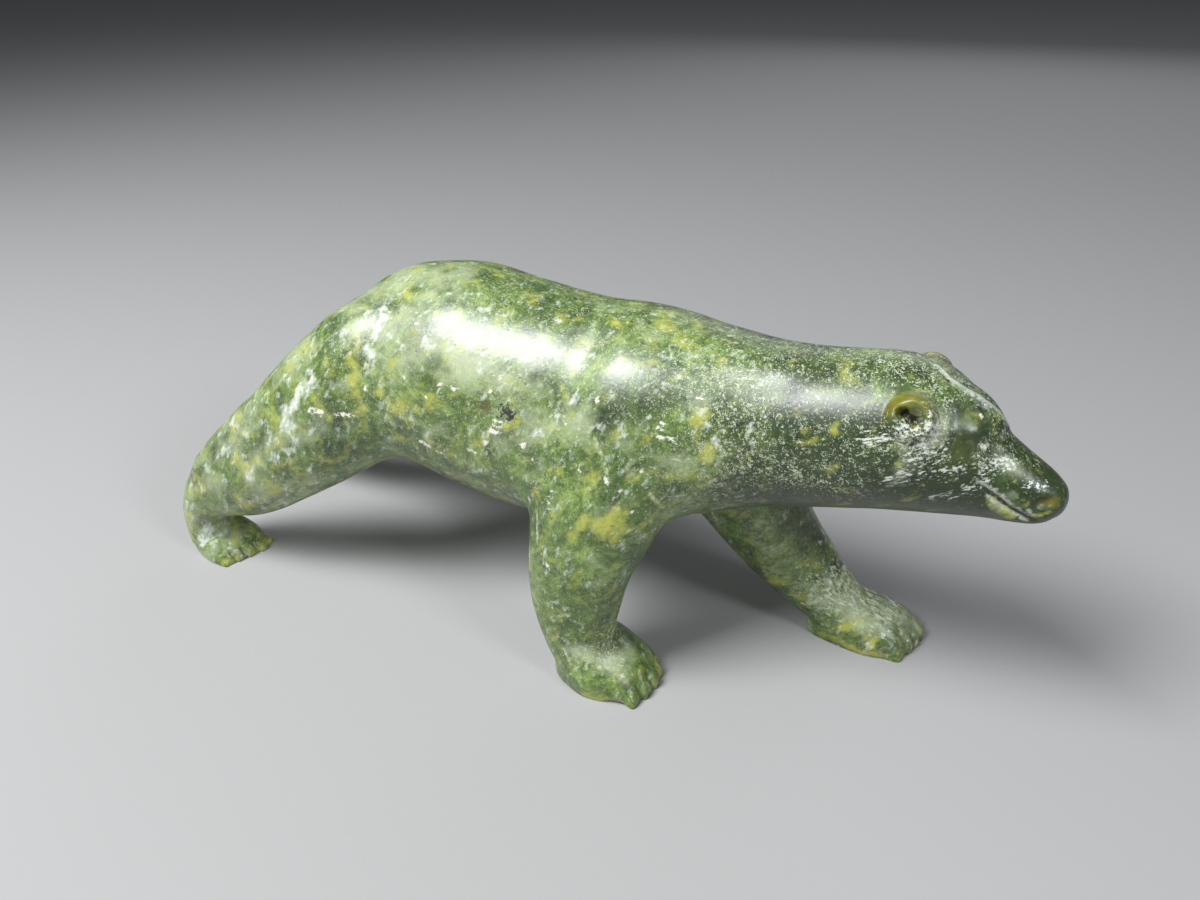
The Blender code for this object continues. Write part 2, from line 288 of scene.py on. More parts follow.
def fillCreases(mesh, passes):
    # Each pass moves a point out along its normal, by half of how far its neighbours' mean lies outside
    share = 0.5
    ends, point = edgesOf(mesh), pointsOf(mesh)
    for _ in range(passes):
        normal = normalsOf(mesh)
        rise = ((neighbourMean(point, ends) - point) * normal).sum(1)
        point = point + share * np.maximum(rise, 0)[:, None] * normal
        putPoints(mesh, point)


def smoothSkin(mesh, passes):
    # Evens the surface without shrinking it: a step towards the neighbours' mean, then a longer one back
    thereAndBack = (0.5, -0.53)
    ends, point = edgesOf(mesh), pointsOf(mesh)
    for _ in range(passes):
        for step in thereAndBack:
            point = point + step * (neighbourMean(point, ends) - point)
    putPoints(mesh, point)


def cloud(point, size, seed):
    # Smooth noise from -1 to 1: random numbers on a lattice of that spacing, eased between the corners
    cells = 64  # along each side of the lattice, after which it repeats
    lattice = np.random.default_rng(seed).uniform(-1, 1, (cells, cells, cells))
    cell = np.floor(point / size).astype(int)
    part = point / size - cell
    part = part * part * (3 - 2 * part)
    total = np.zeros(len(point))
    for corner in np.ndindex(2, 2, 2):
        at = (cell + corner) % cells
        weight = np.where(corner, part, 1 - part).prod(1)
        total += weight * lattice[at[:, 0], at[:, 1], at[:, 2]]
    return total


def awayFrom(point, path):
    # Distance from each point to a broken line, or to a single spot
    line = np.atleast_2d(np.array(path, float))
    if len(line) == 1:
        return np.linalg.norm(point - line[0], axis=1)
    away = np.full(len(point), np.inf)
    for a, b in zip(line, line[1:]):
        t = np.clip((point - a) @ (b - a) / ((b - a) @ (b - a)), 0, 1)[:, None]
        away = np.minimum(away, np.linalg.norm(point - a - t * (b - a), axis=1))
    return away


def easeUp(value, low, high):
    # 0 below low and 1 above high, with 3t^2 - 2t^3 between
    t = np.clip((value - low) / (high - low), 0, 1)
    return t * t * (3 - 2 * t)


def bowl(point, centre, radii, depth, tilt, side, flare=0.8):
    # Presses an oval bowl into the side of the head: floor = (depth + flare) * r^2 - depth, taken as the
    # soft minimum -worn * log(exp(-skin / worn) + exp(-floor / worn)), which rounds its edge
    worn = 0.3
    beneath = 3  # further down than this below the floor, the stone is left alone
    axes = outwardAxes(tilt, side)
    middle = np.array(centre) * (1, side, 1)
    local = (point - middle) @ axes.T
    skin = local[:, 2]
    floor = (depth + flare) * ((local[:, 0] / radii[0]) ** 2 + (local[:, 1] / radii[1]) ** 2) - depth
    local[:, 2] = np.where(skin > -depth - beneath, -worn * np.logaddexp(-skin / worn, -floor / worn), skin)
    return local @ axes + middle


def earRim(point, side, ear):
    # Raises a horseshoe round the cup, open below: height * (1 - ((r - 1) * reach)^2), r the oval radius
    near = 5  # only the skin within this of the cup's centre plane
    axes = outwardAxes(ear["tilt"], side)
    middle = np.array(ear["centre"]) * (1, side, 1)
    local = (point - middle) @ axes.T
    r = np.hypot(local[:, 0] / ear["rimRadii"][0], local[:, 1] / ear["rimRadii"][1])
    roll = np.clip(1 - ((r - 1) * ear["rimReach"]) ** 2, 0, 1) * (np.abs(local[:, 2]) < near)
    local[:, 2] += ear["rimHeight"] * roll * easeUp(local[:, 1], *ear["rimOpens"])
    return local @ axes + middle


def toeCuts(point, paw, form):
    # V cuts between the toes: 1 on a cut's line, 0 at its half width, growing from behind to the tips
    fullBefore, past = 0.6, 4  # full depth from just behind the front, and none at all past the toes
    cut = np.zeros(len(point))
    for front, middle, length in paw["cuts"]:
        wedge = np.clip(1 - np.abs(point[:, 1] - middle) / form["cutHalfWidth"], 0, 1)
        reach = easeUp(point[:, 0], front - length, front - fullBefore) * (point[:, 0] < front + past)
        cut = np.maximum(cut, wedge * reach)
    return cut * (1 - easeUp(point[:, 2], paw["cutTop"] / 2, paw["cutTop"]))


def inZones(shares, zone):
    # Sum of share * zone, for each vertex
    return sum(share * zone[name] for name, share in shares.items())


def addLayer(mesh, name, field):
    # One number for each vertex, for the material to read
    layer = mesh.attributes.new(name, "FLOAT", "POINT")
    layer.data.foreach_set("value", field.astype(np.float32))


def sawnFlat(mesh):
    # Cuts away what is below the ground and closes the soles
    work = bmesh.new()
    work.from_mesh(mesh)
    parts = work.verts[:] + work.edges[:] + work.faces[:]
    bmesh.ops.bisect_plane(work, geom=parts, plane_co=(0, 0, 0), plane_no=(0, 0, 1), clear_inner=True)
    bmesh.ops.holes_fill(work, edges=[edge for edge in work.edges if edge.is_boundary])
    work.to_mesh(mesh)
    work.free()


# Rough block: trunk, limbs and pads, with the creases between them rounded out
hindLeft = np.array(bear["hind"], float)
hindLeft[:, 0] -= bear["hindLeftBack"] * np.linspace(0, 1, len(hindLeft)) ** bear["hindLeftSwing"]
pawHindLeft = dict(bear["pawHind"])
for rows, mirrored in (("pad", (1, 1, 1, -1)), ("toes", (1, -1, 1, 1)), ("cuts", (1, -1, 1))):
    pawHindLeft[rows] = np.array(pawHindLeft[rows], float) * mirrored
    pawHindLeft[rows][:, 0] -= bear["hindLeftBack"]
paws = (bear["pawForeRight"], bear["pawForeLeft"], bear["pawHind"], pawHindLeft)
head = {
    # centre, radii along the nose line, up the cheek and out of it, tilt in degrees
    "brow": ((91.5, 5.2, 82.2), (8.6, 7.2, 3.4), 38),
    "ear": ((85, 11.9, 87), (4.5, 5.2, 3), 33),
}
grids = [ovalGrid(curveRows(bear["trunk"]), 0)]
grids += [limbGrid(bear["foreRight"], -1), limbGrid(bear["foreLeft"], 1)]
grids += [limbGrid(bear["hind"], -1), limbGrid(hindLeft, 1)]
grids += [padGrid(paw, bear["buried"]) for paw in paws]
grids += [bossGrid(*head["brow"], side) for side in (-1, 1)]
body = modified(meshOfShells(grids), "REMESH", mode="VOXEL", voxel_size=bear["roughGrain"])
fillCreases(body, bear["creasePasses"])
print("roughed out", len(body.vertices))

body = modified(body, "SUBSURF", levels=1, render_levels=1)
grids = [grid for paw in paws for grid in toeGrids(paw, bear)]
grids += [bossGrid(*head["ear"], side) for side in (-1, 1)]
body = modified(meshOfShells(grids, body), "REMESH", mode="VOXEL", voxel_size=bear["fineGrain"])
fillCreases(body, bear["finePasses"])
smoothSkin(body, bear["skinPasses"])
print("toes and ears on", len(body.vertices))

# Carving of the surface, in millimetres
ear = {
    "centre": (85.4, 14, 87),
    "tilt": 25,
    "rimRadii": (3.5, 4),
    "rimReach": 1.6,
    "rimHeight": 1.1,
    "rimOpens": (-4, 0),  # the rim fades between these heights below the centre
    # centre, radii, depth, tilt: a shallow cup with a slanting hollow in it
    "bowls": (
        ((85.6, 14, 86.7), (2.9, 3.3), 0.7, 25),
        ((83.6, 13.6, 88.3), (1.6, 1.3), 2.2, 30),
        ((85.6, 13.7, 87.2), (1.7, 1.2), 2.3, 30),
    ),
}
nostril = ((113.3, 5.0, 70.4), (2, 1.5), 0.25, 10)  # a bowl of its own, given in the same way
mouth = (
    (99.8, 9.9, 73.7), (101.4, 9.4, 72.6), (103.5, 8.5, 71.1), (106, 7.4, 69.1), (108.3, 6.8, 67.6),
    (110.8, 6, 66.2), (114.6, 3, 66),
)
nostrilArc = ((110.6, 5.8, 71.6), (110, 6.6, 69.9), (111.2, 6.7, 68.3), (113.4, 5.8, 67.8))
foreheadRidge = (
    (87, -0.9, 94.4), (90.2, -3, 93), (93.4, -3.1, 91.1), (97.7, -2.6, 87.6), (102.2, -0.1, 82.5),
)
carving = {
    "handwork": ((0.22, 22, 3), (0.09, 8, 4)),  # height, size and seed of the slight unevenness
    # half width, depth (raised where it is negative), then the line or spot
    "bothSides": (
        (1.1, 0.8, *mouth),
        (0.6, 0.35, *nostrilArc),
        (2.4, -0.35, (103.5, 8.4, 67.6), (109, 6.4, 65.6)),  # lower lip
        (4.2, -0.5, (90.6, 12.2, 85.6)),  # swelling before the ear
        (4.8, -0.85, (96.6, 8, 84.6)),  # brow
        (4, 0.3, (96, 10.4, 80.6)),  # eye hollow
    ),
    "once": (
        (1.1, -0.4, *foreheadRidge),
        (0.7, 0.25, (88.4, -3.2, 93.4), (93, -4.5, 90.8), (97.6, -4, 87)),  # groove along the ridge
        (1.7, 0.5, (-119.2, -31.3, 22.5)),  # three chips
        (1.4, 0.4, (9.5, -31.8, 39.4)),
        (1.2, 0.3, (11.1, -23.4, 76.9)),
        (2.6, 0.8, (26, -31, 0), (29, -30, 0)),  # nick in the edge of a sole
        (9, 0.9, (13, -15, 91), (10, -22, 83), (5, -24.6, 74)),  # valley behind the shoulder
        (8, -0.8, (49, -8.2, 92), (58, -7.6, 91.6)),  # swelling along the neck
        # back of the right thigh and calf
        (12, -1.2, (-72, -20, 76), (-86, -25, 61), (-97, -25.5, 52), (-106, -26, 44), (-111, -27, 38)),
        (7, -0.6, (-92, -25.5, 56), (-107, -26, 43.5)),
        (12, -1.3, (-50, -5, 94.5), (-42, -4, 97)),  # croup
        (8.5, -2, (99.6, -1, 85.3)),  # fullness of the forehead
        (6, -0.6, (95.5, -1, 89.2)),
    ),
}
calcite = {  # a knot of it stands out below the right ear's hollow
    "line": ((83.4, -13.6, 85.2), (84.8, -14.6, 83.6)),
    "reach": (0.8, 2.4),  # whole within the first distance, gone at the second
    "towards": (0, -0.85, 0.5),
    "height": 0.9,
    "rough": (0.5, 0.9, 5),  # height, size and seed of its grain
}
point, normal = pointsOf(body), normalsOf(body)
rise = np.zeros(len(point))
for tall, size, seed in carving["handwork"]:
    rise += tall * cloud(point, size, seed)
for side in (-1, 1):
    for halfWidth, depth, *line in carving["bothSides"]:
        rise -= depth * (1 - easeUp(awayFrom(point * (1, side, 1), line), 0, halfWidth))
for halfWidth, depth, *line in carving["once"]:
    rise -= depth * (1 - easeUp(awayFrom(point, line), 0, halfWidth))
for paw in paws:
    rise -= bear["cutDepth"] * toeCuts(point, paw, bear)
point = point + rise[:, None] * normal
for side in (-1, 1):
    point = earRim(point, side, ear)
    for hollow in (*ear["bowls"], nostril):
        point = bowl(point, *hollow, side)
knot = 1 - easeUp(awayFrom(point, calcite["line"]), *calcite["reach"])
tall, size, seed = calcite["rough"]
knot *= calcite["height"] + tall * cloud(point, size, seed)
point += knot[:, None] * np.array(calcite["towards"])
putPoints(body, point)
sawnFlat(body)
triangles = sum(len(face.vertices) - 2 for face in body.polygons)
body = modified(body, "DECIMATE", ratio=bear["triangles"] / triangles)
print("carved", len(body.vertices), len(body.polygons))

# Into the frame: the form fills the CAD box, less a hair
inset = 0.05 * millimetre
point = pointsOf(body)
low, high = point.min(0), point.max(0)
room = cadHigh - cadLow - (2 * inset, 2 * inset, inset)
putPoints(body, cadLow + (inset, inset, 0) + (point - low) * room / (high - low))
body.name = bear["name"]
walkingBear = bpy.data.objects.new(bear["name"], body)
bpy.context.scene.collection.objects.link(walkingBear)
body.polygons.foreach_set("use_smooth", np.ones(len(body.polygons), bool))
print("placed", room / millimetre, high - low)

# Where the stone changes, in millimetres on the form: reach, then the line or spot
marks = {
    # pale hazy clouds; the mark below the shoulder and the long one on the flank are a painted sheen round
    # the highlight, the two on the left forepaw painted light
    "haze": (
        (8, (2, -25, 70), (14, -23, 76)), (6, (15, -31, 14), (22, -29, 11), (27, -22, 12)),
        (11, (68, 18, 15), (78, 19, 12)), (9, (84, 24, 8), (89, 28, 5)), (9, (-118, -26, 12), (-112, -22, 7)),
        (13, (-60, -12, 88), (-48, -8, 94), (-30, -6, 99)), (14, (-38, -21, 87), (-6, -23, 83)),
    ),
    "gold": (
        (3.2, (-40.4, -13.6, 94.3), (-38.6, -13, 94.8)), (2.6, (-17.1, -1.8, 99)),
        (4.2, (-48.1, -22.7, 85), (-48.8, -24.6, 79)), (3.6, (-48.1, -26.6, 76), (-45.6, -27.3, 68.6)),
        (3.2, (-40.6, -26, 73), (-36, -26.3, 69.5), (-32.1, -26.3, 71.6), (-26.1, -26.4, 71.1),
         (-24.9, -26, 75)),
        (2.6, (-3.9, -23.6, 78.6), (0.4, -24.2, 76), (-1.5, -24.8, 71.6), (-5.5, -25, 70.6)),
        (2, (22.4, -16.5, 89.3)), (1.8, (15.9, -20, 84.8)), (2, (-4, -25, 68)),
        (5, (26.1, -1.7, 96), (29.5, -6.3, 94.7), (33, -8.9, 93.1)),
        (4.6, (42.4, -18.8, 81.1), (45, -19.9, 76.5), (44.5, -20.5, 72.1)),
        (3, (7.6, -25.6, 67.4)), (5.5, (26, -28.6, 55.6), (20, -30.5, 53)), (4, (16.4, -31.5, 49.8)),
        (3, (7.5, -30.6, 45.1)), (2, (70.9, -15.5, 82.8)), (1.8, (66.9, -16.6, 79.1)),
        (2, (70.1, -7.4, 92.1)), (1.8, (84.6, -15.8, 77.9)), (1.8, (73, -16, 70.3)),
        (3.4, (-60, -10, 88), (-66, -6, 84)),
        (4.5, (-105.7, -24.9, 44.4), (-98, -27, 45)), (3.4, (-87.1, -32.5, 43.6)), (4, (-116, -22, 31)),
        (6, (-93.4, -31, 27.7), (-80, -30, 38)),
        (3.4, (19, -32.2, 1.5), (27, -30.6, 1.5)), (3, (72, 16, 1.5), (82.6, 15.6, 1.5), (89, 18.6, 1.5)),
        (3, (60, -13, 89)), (3.4, (17, -8, 94.6)), (3, (12, -28.5, 62)),
        (4, (-70, -30.5, 47), (-62, -27.6, 52)),
    ),
    "milk": (
        (2.9, (-42.6, -18.1, 90.4), (-43.5, -21.5, 86), (-44.4, -24.7, 79.9)),
        (1.3, (-48.1, -18.4, 90.2), (-43.6, -16.5, 91.9), (-41.5, -17, 91.2)),
        (1.3, (-63, -22.3, 82.5), (-61.9, -26.2, 77.4)),
        (4, (-60.4, -28, 74.3), (-64, -29.6, 69), (-67.6, -30.6, 64), (-69.1, -31.6, 58.1)),
        (3.2, (-83, -26.1, 62.9)), (3.6, (-77.6, -30.9, 58.1)), (3.4, (-92.5, -27.1, 54)),
        (4, (-94.9, -30.6, 46.4)), (3.4, (-86.9, -32.6, 40.4)), (4, (-116, -28.4, 12), (-118.2, -30.2, 7.9)),
        (1.5, (42.6, -18.3, 82), (44.8, -19, 79), (45.9, -19.7, 76.1), (47.9, -19.6, 73.6)),
        (2.2, (5, -24.8, 71)), (2, (9, -23.6, 76)), (1.6, (13, -22.2, 80)), (3, (33.7, -22.1, 50.9)),
        (3, (-70, -31.5, 52), (-66, -30, 57)), (2, (14, -25.4, 68)),
    ),
    "dusk": (
        (6, (-51.3, -29.1, 64.9), (-57, -29.6, 62)), (7, (-28.6, -23.1, 84.5), (-22.9, -24.1, 81.3)),
        (5, (-54.6, -26.6, 74), (-55, -28.4, 69)), (8, (22, -24, 80), (32, -20, 83)), (7, (54, -17, 79)),
        (6, (62, -16.5, 73)), (5, (-12, -22, 84)), (6, (-30, -25.4, 63)), (5, (39, -21, 72)),
        (6, (78, -15.6, 76)), (5, (-75, -31, 43)), (5, (3, -25, 63)), (6, (8, -10, 95)),
    ),
    "rust": ((4, (-9.9, -24.6, 74.9)), (2.4, (-63, -30, 60.5))),
    "vein": (
        (0.9, (18.5, -24.1, 75), (21.5, -25.2, 70), (24.1, -26.8, 64.7)),
        (0.9, (32.6, -23.8, 61.9), (35.3, -21.5, 57.1)),
        (1.1, (-123.1, -28.5, 2.3), (-114.8, -29.5, 7.3), (-111.4, -25, 8.8)),
        (1.1, (13.1, -31, 12.8), (15.8, -30.1, 6.6), (19.5, -30.2, 7.3), (22.4, -29.8, 10.1)),
        (0.7, (58.5, -16.5, 78.5), (63.8, -16.4, 73.5)), (0.9, (5.4, -28.3, 51.6), (6.1, -30.1, 44.3)),
    ),
    "scratch": ((3.2, (48.5, -12.6, 90), (55, -12.4, 90)), (3, (10.6, -26.6, 60), (9, -28, 54))),
    "scuff": ((15, (68, 21, 17), (76, 23, 17), (86, 26.5, 13)), (9, (16, -24, 20), (24, -23, 16))),
    "line": (
        (1.1, (87, -0.9, 94.4), (90.2, -3, 93), (93.6, -3.1, 91.3), (98.6, -2.6, 88.4), (103.5, -0.1, 83.6)),
    ),
    "grit": (
        (1.5, (-119.2, -31.3, 22.5)), (1.5, (9.5, -31.8, 39.4)), (3, (83.4, -13.8, 85.4), (84.6, -15, 83.8)),
        (5, (91, -14.6, 88), (89.6, -16.4, 83.6)),
    ),
    "pit": (
        (1.8, (-4.6, -24.3, 76)), (2.8, (-3.2, -24.3, 74.4)), (1.6, (-5.4, -24.5, 73.6)),
        (10, (-26, -25.6, 96.7), (-5, -26.6, 92.6)),  # held off the surface, so only its edge is felt
        (0.6, (88.4, -3.3, 93.4), (93, -4.6, 90.8), (98.3, -4.2, 87.7)),
    ),
    "flake": (  # small white chips and knots of calcite
        (1.7, (99.8, -8.1, 82), (99, -8.6, 82.2)), (1.7, (96.8, -5.2, 86.7)),
        (1.2, (-31.6, -19.3, 90.6)), (1.1, (-27.9, -21.1, 88.2)),
        (1.3, (-21.9, -24.8, 78.9), (-22.6, -25, 77)), (1.2, (-17.6, -24.6, 78)), (1.1, (-25.9, -26, 74.8)),
        (1.1, (-32.6, -25.3, 78.6)), (1.2, (-44.4, -26.4, 73.4)),
        (1.2, (-29.6, -25.4, 61.5), (-27.4, -25, 60.6)),
        (1.4, (-24.9, -25, 59.3)), (1.5, (-13.9, -25.3, 61.9)), (1.2, (-8.6, -23.6, 78.4)),
        (1, (-6.4, -25, 72), (-8.2, -25.2, 68.4), (-9.9, -25.4, 65.4)), (1.2, (-7.1, -21.9, 82.2)),
        (1.6, (7.6, -23.9, 75.4)), (1.1, (14.1, -21.9, 81.1)), (1.2, (18.9, -21.8, 81.6)),
        (1.4, (11.4, -24.1, 74.6)), (1.5, (0.4, -25.2, 67.6)), (1.2, (14.6, -25, 71.6)),
        (1.1, (3.6, -25.6, 64.4)), (1.2, (16.9, -27.2, 65.6)),
        (1.1, (34.4, -21.3, 78.6), (34.8, -22, 75.6)), (1, (37.1, -21.5, 75.7)), (1.1, (33, -22.9, 71.1)),
        (1.2, (38.9, -21.7, 70.6)), (1.3, (23.6, -27.1, 64.3)), (1, (26.9, -26.6, 62.6)),
        (1.2, (31, -23.9, 67.1)),
        (1.1, (30, -26.3, 57.6)), (1.6, (41.5, -17, 84.6)), (1.4, (-61, -30, 65.6), (-57, -29.8, 65.8)),
        (1.2, (-53, -29, 66), (-49.1, -28.5, 66.1)), (1.5, (9.5, -31.8, 39.4)), (1.2, (13.6, -32.4, 22)),
        (0.9, (10.4, -31.6, 27)), (1.2, (56.5, -16.6, 78)), (1.2, (46.4, -19.6, 75)), (1, (88, -14.6, 84)),
    ),
}
paired = {  # the same on both sides of the head
    "haze": (
        (4, (90.5, 11.6, 86.6), (89.4, 13.2, 84)), (2.4, (102.9, 8.8, 69.9), (105.3, 8.1, 68.4)),
        (3, (106.1, 7.9, 72.1)), (4, (103, 6.6, 79), (108, 4.6, 75)),
    ),
    "gold": (
        (3.4, (82, 12.4, 90.6), (85, 12.2, 91.2)), (3, (102.9, 8.8, 69.9), (106.4, 7.6, 67.6)),
        (1.2, (111.6, 6.5, 67.3), (114, 5.6, 68.6)),
    ),
    "amber": (
        (3.6, (80.9, 13.5, 88), (82.4, 13, 90.6), (85.4, 12.4, 91.4), (87.8, 12.4, 90)),
        (2.3, (112.6, 5.2, 70.2), (114.4, 4.6, 70.6)),
    ),
    "olive": ((5, (96, 10, 81.6), (93.6, 11.8, 80.2)),),
    # painted shade: darker along the lower cheek, under the jaw and down the throat; the spots on the brow
    # and by the nostril are darker stone
    "dusk": (
        (8, (78, 15.6, 73), (90, 13.4, 73), (98, 11, 74)), (11, (98.5, 6, 86), (94, 7, 88)),
        (4.5, (103, 7.6, 66), (107, 6.6, 64.6)), (2.6, (109, 6.8, 71)), (3.6, (96.5, 7.5, 87.4)),
        (7, (66, 15, 64), (92, 10, 64)),
    ),
    "rust": ((2.4, (88.4, 12.4, 88.8)), (2.6, (83.6, 12.2, 88.2), (85.8, 12.4, 87.2))),
    "scratch": (
        (3.4, (86.4, 14.8, 79.4), (92.4, 13.4, 81.4)), (2.6, (83, 15.6, 74), (88, 15, 76.2)),
        (2.6, (97.6, 11, 72.8), (101, 9.6, 75)), (3.6, (100, 9, 78), (105, 5.8, 78)),
        (2.4, (92, 12.6, 70.2), (95.4, 11.4, 71)), (3, (89, 14.2, 76.4), (96, 11.6, 77.4)),
        (2.6, (77.6, 15.8, 81.6), (81, 15.8, 82.4)), (2, (109, 6.2, 73.6), (112, 4.6, 74)),
    ),
    "line": (
        (0.9, (99.6, 9.9, 74.6), (103.6, 8.5, 72.1), (106.2, 7.5, 70.1), (110.6, 6.1, 67.2)),
        (0.8, (101.8, 9.1, 71.2), (105.8, 7.3, 68.2), (110.4, 5.9, 65.6)),
        (0.7, (109.9, 5.9, 71.6), (109.4, 6.7, 69.8), (110.6, 6.8, 67.9)),
    ),
    "pit": (
        (1.5, (83.8, 12.2, 88.1), (85.6, 12.4, 87.2)),
        (0.8, (101, 9.5, 72.9), (106, 7.4, 69.2), (111, 6, 66.3)),
    ),
}
dense = (  # thicker fleck on the paws and by the ear
    (11, (66, 18, 16), (76, 20, 14), (86, 26, 9)), (9, (16, -30, 14), (24, -26, 12)),
    (7, (90, -13, 84), (87, -15, 81)),
)
bare = (  # no fleck here, on either side
    (5.4, (83.5, 12.4, 89.6)), (5, (95.4, 10.4, 82)), (6, (96.4, 7.6, 86)), (3.6, (112.6, 5.2, 70.2)),
)
dull = (  # less polish here: muzzle, cheek, wrists, nostrils and behind the ear
    (9, (100, -8.6, 76), (108, -5.6, 75)), (9, (100, 8.6, 76), (108, 5.6, 75)),
    (10, (84, -15, 76), (92, -13, 76)), (10, (16, -28, 15), (24, -24, 12)), (12, (66, 20, 15), (82, 25, 11)),
    (4, (113, -5, 70)), (4, (113, 5, 70)), (8, (74, -11.6, 89), (79, -12, 89)),
)
glossy = (  # and more here: brows, nose and outer toes
    (6, (96.6, -8, 86)), (6, (96.6, 8, 86)), (3, (115.6, 0, 73)), (5, (31, -27.5, 4)), (5, (88, 19, 5)),
)
scattered = {  # on the side turned away: how many, smallest and largest reach
    "haze": (10, 4, 9), "gold": (26, 2.5, 6), "milk": (14, 1.5, 4.5), "dusk": (18, 4, 8),
    "rust": (3, 1.5, 3), "scratch": (8, 2, 4), "grit": (3, 0.8, 1.4), "pit": (5, 0.6, 1.1),
    "flake": (60, 0.8, 1.6),
}
surface = {
    "seed": 7,  # of what is scattered
    "farSide": 4,  # y beyond which it lies
    # painted light: each toe's thin edge is golden, as if lit through the thin stone: reach, how far behind
    # the tip, how high
    "toeEdgeGlow": (4.5, 0.5, 1),
    "core": 0.3,  # share of its reach over which a bare or glossy spot is whole
    "dullCore": 0.2,
    "polish": 0.6,  # where nothing else is said
    "fleckClouds": (0.35, 13, 9),  # how much it thickens and thins, over what size, and the seed
}
reach, behind, up = surface["toeEdgeGlow"]
for paw in paws:
    marks["gold"] += tuple((reach, (tip - behind, middle, up)) for tip, middle, *_ in paw["toes"])

# Back on the form: where each vertex lies, and how far into each zone, which starts at the first distance
# and is whole at the second
point = low + (pointsOf(body) - cadLow) / (cadHigh - cadLow) * (high - low)
x, y, z = point.T
zone = {
    "all": np.ones(len(point)),
    "rump": easeUp(-x, 52, 72),
    "front": easeUp(x, -15, 15),
    "neck": easeUp(x, 15, 60),
    "head": easeUp(x, 38, 62) * easeUp(z, 42, 60),
    "crest": easeUp(x, 38, 62) * easeUp(z, 82, 92),
    "throat": easeUp(x, 50, 62) * (1 - easeUp(z, 63, 70)),
    "cheek": easeUp(x, 74, 86) * (1 - easeUp(z, 74, 82)),
    "forelegs": easeUp(x, -8, 4) * (1 - easeUp(z, 44, 60)),
    "aboveToes": easeUp(z, 3, 12),
    "back": easeUp(z, 52, 68),
}
# The least of each mark that every place holds, so that it also turns up between the placed ones
drift = {
    "haze": {"all": 0.22, "rump": 0.3, "head": -0.2, "forelegs": -0.16},
    "milk": {"all": 0.1, "rump": 0.06, "head": -0.1},
    "gold": {"all": 0.26, "rump": 0.1, "head": -0.17, "forelegs": -0.08},
    # painted shade: the dark patches also darken the whole head, less on its crest, and the front of the bear
    "dusk": {"all": 0.14, "rump": -0.1, "head": 0.95, "crest": -0.6, "front": 0.16},
}
# The fleck is the product of these and its own clouds: thick on neck and head, thin on the flank, and
# hardly there on legs and rump. Its thinning on the throat and lower cheek is painted shade.
fleckShares = (
    {"all": 0.42, "neck": 0.42, "rump": -0.2},
    {"all": 0.2, "aboveToes": 0.3, "back": 0.5},
    {"all": 1, "throat": -0.8},
    {"all": 1, "cheek": -0.8},
)
random = np.random.default_rng(surface["seed"])
hidden = np.flatnonzero(y > surface["farSide"])
for name in "dusk haze gold olive amber rust milk vein scratch scuff line grit flake pit".split():
    count, smallest, largest = scattered.get(name, (0, 1, 1))
    field = inZones(drift.get(name, {"all": 0}), zone)
    spots = [(random.uniform(smallest, largest), point[at]) for at in random.choice(hidden, count)]
    for reach, *line in list(marks.get(name, ())) + spots:
        field = np.maximum(field, 1 - awayFrom(point, line) / reach)
    for reach, *line in paired.get(name, ()):
        for side in (-1, 1):
            field = np.maximum(field, 1 - awayFrom(point * (1, side, 1), line) / reach)
    addLayer(body, name, field)

uneven, size, seed = surface["fleckClouds"]
fleck = 1 + uneven * cloud(point, size, seed)
for shares in fleckShares:
    fleck *= inZones(shares, zone)
for reach, *line in dense:
    fleck = np.maximum(fleck, 1 - awayFrom(point, line) / reach)
for reach, *line in bare:
    away = awayFrom(np.stack([x, np.abs(y), z], 1), line)
    fleck *= easeUp(away, surface["core"] * reach, reach)
addLayer(body, "fleck", fleck)

polish = np.full(len(point), surface["polish"])
for reach, *line in dull:
    polish *= easeUp(awayFrom(point, line), surface["dullCore"] * reach, reach)
for reach, *line in glossy:
    polish = np.maximum(polish, 1 - easeUp(awayFrom(point, line), surface["core"] * reach, reach))
addLayer(body, "polish", polish)
print("marked")


def linear(code):
    # sRGB hex to linear colour
    values = [int(code[i : i + 2], 16) / 255 for i in (1, 3, 5)]
    return [v / 12.92 if v <= 0.04045 else ((v + 0.055) / 1.055) ** 2.4 for v in values] + [1]


def addNode(tree, kind, sockets={}, **settings):
    # A node with its settings; a socket given another node's output is linked, any other takes its value
    node = tree.nodes.new("ShaderNode" + kind)
    for key, value in settings.items():
        setattr(node, key, value)
    for socket, value in sockets.items():
        if isinstance(value, bpy.types.NodeSocket):
            tree.links.new(value, node.inputs[socket])
        else:
            node.inputs[socket].default_value = value
    return node
